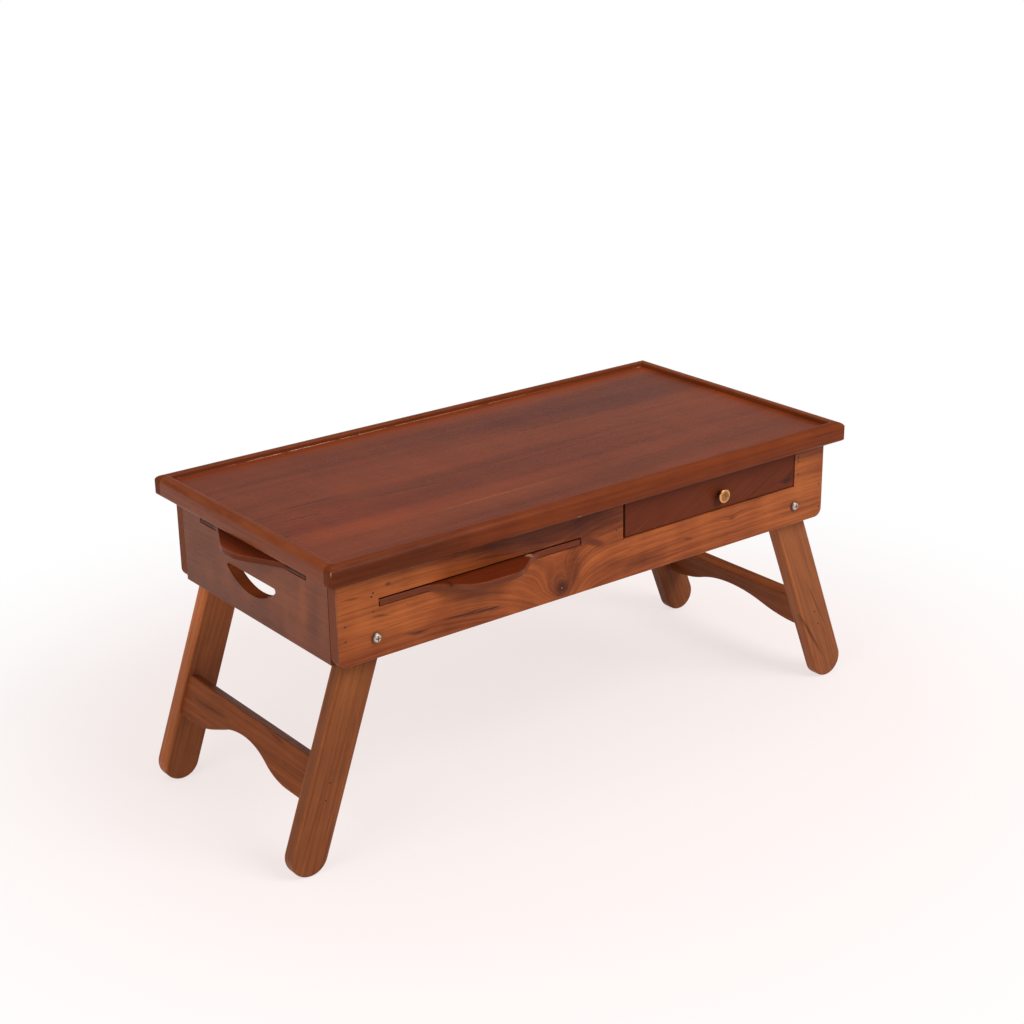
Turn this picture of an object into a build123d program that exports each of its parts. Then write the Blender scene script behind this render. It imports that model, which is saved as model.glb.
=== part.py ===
from build123d import *
import os
from math import atan2, cos, radians, sin, tan

# A folding wooden lap desk: a rimmed tray top on a shallow apron box that holds a drawer, two pull-out boards
# and two folding leg frames. Millimetres, +X to the right, +Y to the back, +Z up.
# The origin is on the floor, under the middle of the whole footprint.

# Apron box: two long boards that lap the two end boards
apron_length = 584.0
apron_width = 274.0
apron_wall = 12.0
apron_corner = 9.0
apron_ease = 1.2

# Hand hole in each end board: a half moon with a straight top edge
hand_hole_rise = 23.8
hand_hole_depth = 18.8
hand_hole_chord = 91.0
hand_hole_offset = 3.5
hand_hole_corner = 2.5
hand_hole_ease = 0.6

# Tray top: a panel with a rim of four rails around its edge
panel_thickness = 15.0
panel_bevel = 0.5
rim_wall = 11.0
rim_lip = 5.0
rim_end_overhang = 13.0
rim_side_overhang = 15.5
rim_round = 7.0
rim_inner_round = 2.0
rim_ease = 4.0
rim_corner = 2.0

# Legs: the two pairs stand at slightly different angles and carry the apron box at one height
stand_height = 195.2
left_leg_splay = 19.3
right_leg_splay = 21.0
leg_width = 37.5
leg_thickness = 15.5
leg_round = 3.0
fold_clear = 1.0
fold_gap = 1.8
stop_gap = 0.4

# Stretchers: a board between the legs of a pair, with an arch in its lower edge
left_stretcher_drop = 120.5
right_stretcher_drop = 138.5
stretcher_depth = 39.5
stretcher_thickness = 13.0
stretcher_inset = 4.5
stretcher_ease = 1.5
left_arch_flat = 24.0
left_arch_rise = 18.5
right_arch_front_flat = 23.0
right_arch_back_flat = 2.0
right_arch_rise = 20.0

# Pivot screws and washers
screw_shank_radius = 2.25
screw_grip = 13.5
screw_head_radius = 4.8
screw_head_height = 3.0
screw_head_edge = 1.1
screw_recess_length = 5.0
screw_recess_width = 1.1
screw_recess_depth = 1.3
washer_radius = 6.5
washer_thickness = 1.0
running_play = 0.08
thread_play = 0.05
side_play = 0.3

# Pull-out boards, their lips, slots and grooved guides; a lip's foot and crown are shares of its board's
# width and its bends are shares of the crown
board_thickness = 6.0
board_lift = 0.5
board_headroom = 1.7
board_side_play = 1.0
front_lip_reach = 27.3
front_lip_foot_share = 0.505
front_lip_crown_share = 0.216
front_lip_bend_share = 0.26
side_lip_reach = 24.0
side_lip_foot_share = 0.66
side_lip_crown_share = 0.132
side_lip_bend_share = 0.335
pull_round = 1.2
front_slot_middle_post = 26.3
front_slot_end_post = 43.0
front_board_rear_gap = 30.0
side_slot_margin = 45.5
side_board_rear_gap = 20.0
groove_depth = 6.0
guide_back = 11.0
guide_floor = 6.6
guide_roof = 9.2
side_guide_floor = 3.5
side_guide_roof = 4.8

# Drawer
drawer_middle_post = 25.0
drawer_end_post = 41.0
drawer_guide_wall = 14.0
drawer_play = 1.5
drawer_lift = 1.0
drawer_recess = 0.6
drawer_front_shift = 1.0
drawer_front_wall = 12.0
drawer_front_ease = 0.8
drawer_side_wall = 9.0
drawer_side_drop = 4.0
drawer_back_wall = 9.0
drawer_rear_gap = 40.0
drawer_bottom_thickness = 4.0
drawer_bottom_rise = 4.0
drawer_bottom_grip = 4.0
fit_play = 0.1
runner_rise = 13.0
runner_height = 7.2
runner_grip = 3.7
slide_play = 0.3

# Drawer knob and its screw: a low button, a little right of and below the middle of the drawer front
knob_offset = 11.2
knob_drop = 4.8
knob_radius = 6.8
knob_reach = 8.0
knob_edge_height = 6.9
knob_edge_depth = 1.6
knob_under_height = 3.9
knob_edge_round = 0.6
knob_neck_radius = 3.2
knob_base_radius = 4.4
knob_base_height = 0.8
knob_bore_depth = 5.2
knob_screw_radius = 1.5
knob_screw_grip = 4.6
knob_screw_head_radius = 3.8
knob_screw_head_height = 2.2
knob_screw_head_edge = 0.8

# Places worked out from the sizes
middle_y = (front_lip_reach - rim_side_overhang) / 2
front_y = middle_y - apron_width / 2
front_inner_y = front_y + apron_wall
back_inner_y = middle_y + apron_width / 2 - apron_wall
end_x = apron_length / 2
end_inner_x = end_x - apron_wall
inner_width = apron_width - 2 * apron_wall
middle_plane = Plane.XZ.offset(-middle_y)

# Heights from the floor up: the folded legs lie lowest, then the front board, then the left board
pivot_rise = fold_clear + leg_width / 2
apron_z = stand_height
pivot_z = apron_z + pivot_rise
storey_z = apron_z + fold_clear + leg_width + fold_gap
slot_height = board_lift + board_thickness + board_headroom
front_slot_z = storey_z + guide_floor
guide_top_z = front_slot_z + slot_height + guide_roof
side_slot_z = guide_top_z + side_guide_floor
apron_top_z = side_slot_z + slot_height + side_guide_roof

# The open legs lean against the lower inner edges of the end boards
left_splay = radians(left_leg_splay)
right_splay = radians(right_leg_splay)
left_lean = leg_width / 2 / cos(left_splay) + pivot_rise * tan(left_splay)
right_lean = leg_width / 2 / cos(right_splay) + pivot_rise * tan(right_splay)
left_pivot_x = end_inner_x - left_lean - stop_gap
right_pivot_x = end_inner_x - right_lean - stop_gap
pivot_spots = ((-left_pivot_x, pivot_z), (right_pivot_x, pivot_z))
leg_face_y = front_inner_y + washer_thickness + side_play

front_slot_left = front_slot_end_post - end_x
front_slot_right = -front_slot_middle_post
front_slot_center = (front_slot_left + front_slot_right) / 2
opening_left = drawer_middle_post
opening_right = end_x - drawer_end_post
drawer_center = (opening_left + opening_right) / 2
guide_wall_x = opening_left - drawer_guide_wall

os.makedirs("parts", exist_ok=True)


def keep(piece, node):
    # label a finished piece and write it to its own file
    piece.part.label = node
    export_step(piece.part, f"parts/{node}.step")


def reflected(piece, about):
    # the twin of a piece on the other side of a plane
    with BuildPart() as twin:
        mirror(piece.part, about=about)
    return twin


def bow(start, end, base, rise):
    # an S-curve up to a crown and down again, in four equal arcs that meet without a corner
    quarter = (end - start) / 4
    foot = TangentArc((start, base), (start + quarter, base + rise / 2), tangent=(1, 0))
    climb = TangentArc(foot @ 1, (start + 2 * quarter, base + rise), tangent=foot % 1)
    fall = TangentArc(climb @ 1, (end - quarter, base + rise / 2), tangent=climb % 1)
    TangentArc(fall @ 1, (end, base), tangent=fall % 1)


def corner_rectangle(left, low, right, high, mode=Mode.ADD):
    # a rectangle given by two opposite corners
    with Locations(((left + right) / 2, (low + high) / 2)):
        Rectangle(right - left, high - low, mode=mode)


# Rim: shaped as one ring, then parted along its butt joints into four rails
rim_length = apron_length + 2 * rim_end_overhang
rim_width = apron_width + 2 * rim_side_overhang
rim_height = panel_thickness + rim_lip
panel_length = rim_length - 2 * rim_wall
panel_width = rim_width - 2 * rim_wall
rim_origin = Vector(0, middle_y, apron_top_z)


def rim_view(length):
    # the rim seen from one side: boldly rounded above, softly below
    corner_rectangle(-length / 2, 0, length / 2, rim_height)
    fillet(vertices().group_by(Axis.Y)[-1], rim_round)
    fillet(vertices().group_by(Axis.Y)[0], rim_ease)


with BuildPart() as rim:
    with BuildSketch(Plane(rim_origin)):
        Rectangle(rim_length, rim_width)
        fillet(vertices(), rim_corner)
    extrude(amount=rim_height)
    with BuildSketch(Plane(rim_origin, x_dir=(1, 0, 0), z_dir=(0, -1, 0))):
        rim_view(rim_length)
    extrude(amount=rim_width / 2, both=True, mode=Mode.INTERSECT)
    with BuildSketch(Plane(rim_origin, x_dir=(0, 1, 0), z_dir=(1, 0, 0))):
        rim_view(rim_width)
    extrude(amount=rim_length / 2, both=True, mode=Mode.INTERSECT)
    with BuildSketch(Plane(rim_origin)):
        Rectangle(panel_length, panel_width)
    extrude(amount=rim_height, mode=Mode.SUBTRACT)
    fillet(rim.faces().sort_by(Axis.Z)[-1].inner_wires().edges(), rim_inner_round)

front_joint = Plane.XZ.offset(panel_width / 2 - middle_y)
back_joint = Plane.XZ.offset(-panel_width / 2 - middle_y)

with BuildPart() as rim_front:
    add(rim.part)
    split(bisect_by=front_joint, keep=Keep.TOP)

with BuildPart() as rim_left:
    add(rim.part)
    split(bisect_by=front_joint, keep=Keep.BOTTOM)
    split(bisect_by=back_joint, keep=Keep.TOP)
    split(bisect_by=Plane.YZ, keep=Keep.BOTTOM)

keep(rim_front, "rim_front")
keep(reflected(rim_front, middle_plane), "rim_back")
keep(rim_left, "rim_left")
keep(reflected(rim_left, Plane.YZ), "rim_right")

# Top panel: lies on the apron boards, its edge glued to the rim
with BuildPart() as top_panel:
    with BuildSketch(Plane(rim_origin)):
        Rectangle(panel_length, panel_width)
    extrude(amount=panel_thickness)
    chamfer(top_panel.faces().sort_by(Axis.Z)[-1].edges(), panel_bevel)

keep(top_panel, "top_panel")

# Long apron board: round lower corners, eased edges, a running hole at each pivot
front_face = Plane.XZ.offset(-front_y)

with BuildPart() as long_board:
    with BuildSketch(front_face):
        corner_rectangle(-end_x, apron_z, end_x, apron_top_z)
        fillet(vertices().group_by(Axis.Y)[0], apron_corner)
    extrude(amount=-apron_wall)
    fillet(long_board.faces().sort_by(Axis.Y)[0].edges().sort_by(Axis.Z)[:-1], apron_ease)
    fillet(long_board.faces().sort_by(Axis.Y)[-1].edges().group_by(Axis.Z)[0], apron_ease)
    with BuildSketch(front_face):
        with Locations(*pivot_spots):
            Circle(screw_shank_radius + running_play)
    extrude(amount=-apron_wall, mode=Mode.SUBTRACT)

keep(reflected(long_board, middle_plane), "apron_back")

# Front apron board: the slot of the front board, and the drawer's opening, which the tray top closes
with BuildPart() as apron_front:
    add(long_board.part)
    with BuildSketch(front_face):
        corner_rectangle(front_slot_left, front_slot_z, front_slot_right, front_slot_z + slot_height)
        corner_rectangle(opening_left, storey_z, opening_right, apron_top_z)
    extrude(amount=-apron_wall, mode=Mode.SUBTRACT)

keep(apron_front, "apron_front")

# End apron board: stands between the long boards, with a half-moon hand hole a little behind its middle
hand_hole_z = apron_z + hand_hole_rise
hand_hole_top_z = hand_hole_z + hand_hole_depth
left_face = Plane((-end_x, middle_y, 0), x_dir=(0, 1, 0), z_dir=(1, 0, 0))

with BuildPart() as end_board:
    with BuildSketch(left_face):
        corner_rectangle(-inner_width / 2, apron_z, inner_width / 2, apron_top_z)
    extrude(amount=apron_wall)
    fillet(end_board.edges().filter_by(Axis.Y).group_by(Axis.Z)[0], apron_ease)
    with BuildSketch(left_face) as hand_hole:
        with BuildLine():
            chord = Line(
                (hand_hole_offset - hand_hole_chord / 2, hand_hole_top_z),
                (hand_hole_offset + hand_hole_chord / 2, hand_hole_top_z),
            )
            ThreePointArc(chord @ 0, (hand_hole_offset, hand_hole_z), chord @ 1)
        make_face()
        fillet(hand_hole.vertices(), hand_hole_corner)
    extrude(amount=apron_wall, mode=Mode.SUBTRACT)
    fillet(end_board.faces().sort_by(Axis.X)[0].inner_wires().edges(), hand_hole_ease)
    fillet(end_board.faces().sort_by(Axis.X)[-1].inner_wires().edges(), hand_hole_ease)

keep(reflected(end_board, Plane.YZ), "apron_right")

# Left end board: also has the slot of the left board
side_slot_half = apron_width / 2 - side_slot_margin

with BuildPart() as apron_left:
    add(end_board.part)
    with BuildSketch(left_face):
        corner_rectangle(-side_slot_half, side_slot_z, side_slot_half, side_slot_z + slot_height)
    extrude(amount=apron_wall, mode=Mode.SUBTRACT)

keep(apron_left, "apron_left")


def grooved_guide(plane, slot_edge, floor_z, slot_z, roof_z, length):
    # a strip behind the end of a slot, with a groove in line with the slot for the edge of its board
    with BuildPart() as guide:
        with BuildSketch(plane):
            corner_rectangle(slot_edge - guide_back, floor_z, slot_edge + groove_depth, roof_z)
            corner_rectangle(slot_edge, slot_z, slot_edge + groove_depth, slot_z + slot_height, Mode.SUBTRACT)
        extrude(amount=length)
    return guide


def pull_board(plane, half_width, rear, foot_share, crown_share, bend_share, reach):
    # a flat board whose front edge swells into a bow-shaped lip; the front edge lies on the plane's X axis
    foot = half_width * foot_share
    crown = half_width * crown_share
    flank_turn = atan2(reach, foot - crown)
    lip_bend = 2 * crown * bend_share / tan(flank_turn / 2)
    lip_bound = (half_width + foot) / 2
    with BuildPart() as board:
        with BuildSketch(plane) as outline:
            with BuildLine():
                Polyline(
                    (-half_width, 0),
                    (-foot, 0),
                    (-crown, -reach),
                    (crown, -reach),
                    (foot, 0),
                    (half_width, 0),
                    (half_width, rear),
                    (-half_width, rear),
                    close=True,
                )
            make_face()
            fillet(outline.vertices().filter_by_position(Axis.X, -lip_bound, lip_bound), lip_bend)
        extrude(amount=board_thickness)
        fillet(board.edges().filter_by(GeomType.CIRCLE), pull_round)
    return board


# Front board and its guides, which reach from the front apron board to the back one
front_guide_plane = Plane((0, back_inner_y, 0), x_dir=(1, 0, 0), z_dir=(0, -1, 0))
front_guide = grooved_guide(
    front_guide_plane, front_slot_left, storey_z, front_slot_z, guide_top_z, inner_width
)
keep(front_guide, "front_board_guide_left")
keep(reflected(front_guide, Plane.YZ.offset(front_slot_center)), "front_board_guide_right")

front_board_plane = Plane((front_slot_center, front_y, front_slot_z + board_lift))
front_board_half = (front_slot_right - front_slot_left) / 2 - board_side_play
front_board_length = apron_width - apron_wall - front_board_rear_gap
front_board = pull_board(
    front_board_plane,
    front_board_half,
    front_board_length,
    front_lip_foot_share,
    front_lip_crown_share,
    front_lip_bend_share,
    front_lip_reach,
)
keep(front_board, "front_board")

# Left board and its guides, which hang under the tray top between the left end board and the drawer's wall
side_guide_plane = Plane((-end_inner_x, middle_y, 0), x_dir=(0, 1, 0), z_dir=(1, 0, 0))
side_guide = grooved_guide(
    side_guide_plane, -side_slot_half, guide_top_z, side_slot_z, apron_top_z, end_inner_x + guide_wall_x
)
keep(side_guide, "side_board_guide_front")
keep(reflected(side_guide, middle_plane), "side_board_guide_back")

side_board_plane = Plane((-end_x, middle_y, side_slot_z + board_lift), x_dir=(0, -1, 0), z_dir=(0, 0, 1))
side_board_length = end_x + guide_wall_x - side_board_rear_gap
side_board_half = side_slot_half - board_side_play
side_board = pull_board(
    side_board_plane,
    side_board_half,
    side_board_length,
    side_lip_foot_share,
    side_lip_crown_share,
    side_lip_bend_share,
    side_lip_reach,
)
keep(side_board, "side_board")

# Drawer guides: walls beside the drawer from the front board to the back one, with a runner strip on each
drawer_left = opening_left + drawer_play
drawer_right = opening_right - drawer_play
drawer_z = storey_z + drawer_lift
drawer_front_y = front_y + drawer_recess
drawer_inner_y = drawer_front_y + drawer_front_wall
drawer_rear_y = back_inner_y - drawer_rear_gap
drawer_side_top_z = apron_top_z - drawer_lift - drawer_side_drop
runner_z = drawer_z + runner_rise
drawer_plane = Plane.YZ.offset(drawer_center)

with BuildPart() as drawer_guide:
    with BuildSketch(Plane.XZ.offset(-front_inner_y)):
        corner_rectangle(guide_wall_x, storey_z, opening_left, apron_top_z)
    extrude(amount=-inner_width)

with BuildPart() as drawer_runner:
    with BuildSketch(Plane.XZ.offset(-drawer_inner_y - slide_play)):
        corner_rectangle(opening_left, runner_z, drawer_left + runner_grip, runner_z + runner_height)
    extrude(amount=drawer_inner_y + slide_play - back_inner_y)

for piece, name in ((drawer_guide, "drawer_guide"), (drawer_runner, "drawer_runner")):
    keep(piece, f"{name}_left")
    keep(reflected(piece, drawer_plane), f"{name}_right")

# Drawer sides: grooved outside for the runner and inside for the bottom
drawer_side_x = drawer_left + drawer_side_wall
bottom_z = drawer_z + drawer_bottom_rise
bottom_left = drawer_side_x - drawer_bottom_grip
groove_low_z = bottom_z - fit_play
groove_high_z = bottom_z + drawer_bottom_thickness + fit_play

with BuildPart() as drawer_side:
    with BuildSketch(Plane.XZ.offset(-drawer_inner_y)):
        corner_rectangle(drawer_left, drawer_z, drawer_side_x, drawer_side_top_z)
        corner_rectangle(
            drawer_left,
            runner_z - slide_play,
            drawer_left + runner_grip + slide_play,
            runner_z + runner_height + slide_play,
            Mode.SUBTRACT,
        )
        corner_rectangle(bottom_left - fit_play, groove_low_z, drawer_side_x, groove_high_z, Mode.SUBTRACT)
    extrude(amount=drawer_inner_y - drawer_rear_y)

keep(drawer_side, "drawer_side_left")
keep(reflected(drawer_side, drawer_plane), "drawer_side_right")

# Drawer front: set just behind the apron's face and a little to the right in its opening, grooved for the
# bottom and bored for the knob's screw
bottom_right = drawer_right - drawer_side_wall + drawer_bottom_grip
knob_x = drawer_center + knob_offset
knob_z = (storey_z + apron_top_z) / 2 - knob_drop
knob_plane = Plane((knob_x, drawer_front_y, knob_z), x_dir=(1, 0, 0), z_dir=(0, 0, -1))
knob_axis = Axis((knob_x, drawer_front_y, knob_z), (0, -1, 0))

with BuildPart() as drawer_front:
    with BuildSketch(Plane.XZ.offset(-drawer_front_y)):
        corner_rectangle(
            drawer_left + drawer_front_shift,
            drawer_z,
            drawer_right + drawer_front_shift,
            apron_top_z - drawer_lift,
        )
    extrude(amount=-drawer_front_wall)
    fillet(drawer_front.faces().sort_by(Axis.Y)[0].edges(), drawer_front_ease)
    with BuildSketch(Plane.XZ.offset(-drawer_inner_y)):
        corner_rectangle(bottom_left - fit_play, groove_low_z, bottom_right + fit_play, groove_high_z)
    extrude(amount=drawer_bottom_grip + fit_play, mode=Mode.SUBTRACT)
    with BuildSketch(Plane.XZ.offset(-drawer_front_y)):
        with Locations((knob_x, knob_z)):
            Circle(knob_screw_radius + thread_play)
    extrude(amount=-drawer_front_wall, mode=Mode.SUBTRACT)

keep(drawer_front, "drawer_front")

# Drawer bottom: held in the grooves, its rear edge under the back
with BuildPart() as drawer_bottom:
    with BuildSketch(Plane.XY.offset(bottom_z)):
        corner_rectangle(bottom_left, drawer_inner_y - drawer_bottom_grip, bottom_right, drawer_rear_y)
    extrude(amount=drawer_bottom_thickness)

keep(drawer_bottom, "drawer_bottom")

# Drawer back: stands on the bottom, between the sides
with BuildPart() as drawer_back:
    with BuildSketch(Plane.XZ.offset(-drawer_rear_y)):
        corner_rectangle(
            drawer_side_x,
            bottom_z + drawer_bottom_thickness,
            drawer_right - drawer_side_wall,
            drawer_side_top_z,
        )
    extrude(amount=drawer_back_wall)

keep(drawer_back, "drawer_back")

# Knob: a turned brass button, a disc on a short neck with a small base, bored from behind
with BuildPart() as drawer_knob:
    with BuildSketch(knob_plane) as knob_profile:
        with BuildLine():
            dome = TangentArc((0, knob_reach), (knob_radius, knob_edge_height), tangent=(1, 0))
            Polyline(
                dome @ 1,
                (knob_radius, knob_edge_height - knob_edge_depth),
                (knob_neck_radius, knob_under_height),
                (knob_neck_radius, knob_base_height),
                (knob_base_radius, knob_base_height),
                (knob_base_radius, 0),
                (knob_screw_radius + thread_play, 0),
                (knob_screw_radius + thread_play, knob_bore_depth),
                (0, knob_bore_depth),
                (0, knob_reach),
            )
        make_face()
        fillet(knob_profile.vertices().group_by(Axis.X)[-1], knob_edge_round)
    revolve(axis=knob_axis)

keep(drawer_knob, "drawer_knob")


def screw_outline(shank_radius, shank_length, head_radius, head_height, head_edge):
    # half of a pan-head screw: the head stands up from the X axis and the shank hangs down
    cap = TangentArc((0, head_height), (head_radius, head_edge), tangent=(1, 0))
    Polyline(
        cap @ 1,
        (head_radius, 0),
        (shank_radius, 0),
        (shank_radius, -shank_length),
        (0, -shank_length),
        (0, head_height),
    )


# Knob screw: from inside the drawer, through the front and into the knob
knob_screw_plane = Plane((knob_x, drawer_inner_y, knob_z), x_dir=(1, 0, 0), z_dir=(0, 0, 1))

with BuildPart() as knob_screw:
    with BuildSketch(knob_screw_plane):
        with BuildLine():
            screw_outline(
                knob_screw_radius,
                drawer_front_wall + knob_screw_grip,
                knob_screw_head_radius,
                knob_screw_head_height,
                knob_screw_head_edge,
            )
        make_face()
    revolve(axis=knob_axis)

keep(knob_screw, "knob_screw")


def leg_bar(splay, pivot_x):
    # front leg of a pair at the left: a flat bar with round ends at pivot and foot, all long edges rounded
    run = (pivot_z - leg_width / 2) / cos(splay)
    pivot = Vector(-pivot_x, leg_face_y, pivot_z)
    plane = Plane(pivot, x_dir=(-cos(splay), 0, sin(splay)), z_dir=(0, 1, 0))
    with BuildPart() as bar:
        with BuildSketch(plane):
            with Locations((0, -run / 2)):
                SlotCenterToCenter(run, leg_width, rotation=90)
        extrude(amount=leg_thickness)
        fillet(bar.edges().filter_by(Axis.Y, reverse=True), leg_round)
        with BuildSketch(plane):
            Circle(screw_shank_radius + thread_play)
        extrude(amount=screw_grip + thread_play, mode=Mode.SUBTRACT)
    return bar


def stretcher_board(splay, pivot_x, drop, front_flat, back_flat, rise):
    # stretcher of a pair at the left: fixed near the legs' outer edges, its lower edge cut to a long arch
    half = middle_y - leg_face_y - leg_thickness
    arch_front = front_flat - half
    arch_back = half - back_flat
    low = -drop - stretcher_depth
    out_of_leg = Vector(-cos(splay), 0, sin(splay))
    origin = Vector(-pivot_x, middle_y, pivot_z) + out_of_leg * (leg_width / 2 - stretcher_inset)
    with BuildPart() as stretcher:
        with BuildSketch(Plane(origin, x_dir=(0, 1, 0), z_dir=-out_of_leg)):
            with BuildLine():
                bow(arch_front, arch_back, low, rise)
                Polyline(
                    (arch_back, low),
                    (half, low),
                    (half, -drop),
                    (-half, -drop),
                    (-half, low),
                    (arch_front, low),
                )
            make_face()
        extrude(amount=stretcher_thickness)
        long_edges = stretcher.edges().filter_by(Axis.Y) + stretcher.edges().filter_by(GeomType.CIRCLE)
        fillet(long_edges, stretcher_ease)
    return stretcher


def pivot_screws(pivot_x):
    # the two pivot screws of a pair at the left: fixed in the legs, turning in the apron boards
    seat = Vector(-pivot_x, front_y - side_play, pivot_z)
    recess = seat - Vector(0, screw_head_height, 0)
    shank_length = leg_face_y + screw_grip - seat.Y
    with BuildPart() as screws:
        with BuildSketch(Plane(seat, x_dir=(1, 0, 0), z_dir=(0, 0, -1))):
            with BuildLine():
                screw_outline(
                    screw_shank_radius, shank_length, screw_head_radius, screw_head_height, screw_head_edge
                )
            make_face()
        revolve(axis=Axis(seat, (0, -1, 0)))
        with BuildSketch(Plane(recess, x_dir=(1, 0, 0), z_dir=(0, -1, 0))):
            Rectangle(screw_recess_length, screw_recess_width)
            Rectangle(screw_recess_width, screw_recess_length)
        extrude(amount=-screw_recess_depth, mode=Mode.SUBTRACT)
        mirror(about=middle_plane)
    return screws


# Left leg frame: two legs, the stretcher between them and the screws they turn on
left_leg = leg_bar(left_splay, left_pivot_x)
keep(left_leg, "leg_left_front")
keep(reflected(left_leg, middle_plane), "leg_left_back")
left_stretcher = stretcher_board(
    left_splay, left_pivot_x, left_stretcher_drop, left_arch_flat, left_arch_flat, left_arch_rise
)
keep(left_stretcher, "stretcher_left")
keep(pivot_screws(left_pivot_x), "pivot_screws_left")

# Right leg frame: made the same way at the left, then turned over to the right
right_leg = reflected(leg_bar(right_splay, right_pivot_x), Plane.YZ)
right_stretcher = stretcher_board(
    right_splay,
    right_pivot_x,
    right_stretcher_drop,
    right_arch_front_flat,
    right_arch_back_flat,
    right_arch_rise,
)
keep(right_leg, "leg_right_front")
keep(reflected(right_leg, middle_plane), "leg_right_back")
keep(reflected(right_stretcher, Plane.YZ), "stretcher_right")
keep(reflected(pivot_screws(right_pivot_x), Plane.YZ), "pivot_screws_right")

# Washers: between each leg and its apron board, one at every pivot
with BuildPart() as pivot_washers:
    with BuildSketch(Plane.XZ.offset(-front_inner_y)):
        with Locations(*pivot_spots):
            Circle(washer_radius)
            Circle(screw_shank_radius + running_play, mode=Mode.SUBTRACT)
    extrude(amount=-washer_thickness)
    mirror(about=middle_plane)

keep(pivot_washers, "pivot_washers")
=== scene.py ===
import bpy
import bmesh
from math import cos, pi, radians, sin, tan
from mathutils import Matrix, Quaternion, Vector


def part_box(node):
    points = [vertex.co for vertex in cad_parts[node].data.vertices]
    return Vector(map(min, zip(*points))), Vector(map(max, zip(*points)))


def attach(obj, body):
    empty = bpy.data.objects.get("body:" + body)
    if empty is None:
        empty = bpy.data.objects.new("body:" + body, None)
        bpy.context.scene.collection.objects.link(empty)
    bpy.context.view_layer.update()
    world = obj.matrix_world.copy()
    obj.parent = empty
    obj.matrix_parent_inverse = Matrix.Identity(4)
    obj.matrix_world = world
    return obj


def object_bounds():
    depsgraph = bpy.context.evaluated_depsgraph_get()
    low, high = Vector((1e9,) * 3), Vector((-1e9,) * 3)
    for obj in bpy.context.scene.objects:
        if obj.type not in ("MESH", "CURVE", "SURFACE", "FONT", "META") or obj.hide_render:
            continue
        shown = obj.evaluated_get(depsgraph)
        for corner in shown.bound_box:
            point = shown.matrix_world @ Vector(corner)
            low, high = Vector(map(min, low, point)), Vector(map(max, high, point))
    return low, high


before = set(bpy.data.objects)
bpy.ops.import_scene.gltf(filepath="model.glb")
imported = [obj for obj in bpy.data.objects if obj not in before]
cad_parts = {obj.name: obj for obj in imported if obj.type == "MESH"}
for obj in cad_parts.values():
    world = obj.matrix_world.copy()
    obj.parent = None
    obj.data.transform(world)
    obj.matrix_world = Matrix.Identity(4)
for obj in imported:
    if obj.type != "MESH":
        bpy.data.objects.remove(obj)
cad_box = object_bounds()

# Front apron board: one long teak board with a slot for the pull-out board and an opening for the drawer.
# Solid light teak under a thin clear polish, nailed through its face into the boards behind it.
# The grain swirls round one big knot near the lower edge and runs in long waves towards the right end.

# the desk's own directions
lengthways = Vector((1.0, 0.0, 0.0))
crossways = Vector((0.0, 1.0, 0.0))
upwards = Vector((0.0, 0.0, 1.0))


def put(tree, kind, inputs, out=0, **settings):
    # add one shader node, link or set its inputs, and give back one of its outputs, or all for None
    made = tree.nodes.new("ShaderNode" + kind)
    for name, value in settings.items():
        setattr(made, name, value)
    for name, value in inputs.items():
        if isinstance(value, bpy.types.NodeSocket):
            tree.links.new(value, made.inputs[name])
        else:
            made.inputs[name].default_value = value
    return made.outputs if out is None else made.outputs[out]


def sums(tree, operation, first, second=0.0, third=0.0):
    return put(tree, "Math", {0: first, 1: second, 2: third}, operation=operation)


def vectors(tree, operation, first, second=(0.0, 0.0, 0.0)):
    out = "Value" if operation in ("DOT_PRODUCT", "LENGTH") else "Vector"
    return put(tree, "VectorMath", {0: first, 1: second}, out, operation=operation)


def scaled(tree, vector, share):
    return put(tree, "VectorMath", {0: vector, "Scale": share}, operation="SCALE")


def ease(tree, value, start, end):
    # a smooth step from 0 at the start to 1 at the end
    inputs = {"Value": value, "From Min": start, "From Max": end}
    return put(tree, "MapRange", inputs, interpolation_type="SMOOTHSTEP")


def tint(tree, share, first, second, blend="MIX"):
    return put(tree, "Mix", {0: share, 6: first, 7: second}, 2, data_type="RGBA", blend_type=blend)


def mottle(tree, place, blotches, detail=2.0, out="Fac"):
    # noise with so many blotches per metre along, across and into the board
    drawn = vectors(tree, "MULTIPLY", place, blotches)
    return put(tree, "TexNoise", {"Vector": drawn, "Scale": 1.0, "Detail": detail, "Roughness": 0.55}, out)


def shared_group(name, inputs, outputs):
    # an empty node group with its sockets
    group = bpy.data.node_groups.new(name, "ShaderNodeTree")
    for in_out, sockets in (("INPUT", inputs), ("OUTPUT", outputs)):
        for socket, kind in sockets.items():
            group.interface.new_socket(socket, in_out=in_out, socket_type="NodeSocket" + kind)
    return group, group.nodes.new("NodeGroupInput").outputs, group.nodes.new("NodeGroupOutput").inputs


def use(tree, group, inputs):
    # place a node group in a material with its own values
    return put(tree, "Group", inputs, None, node_tree=group)


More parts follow.
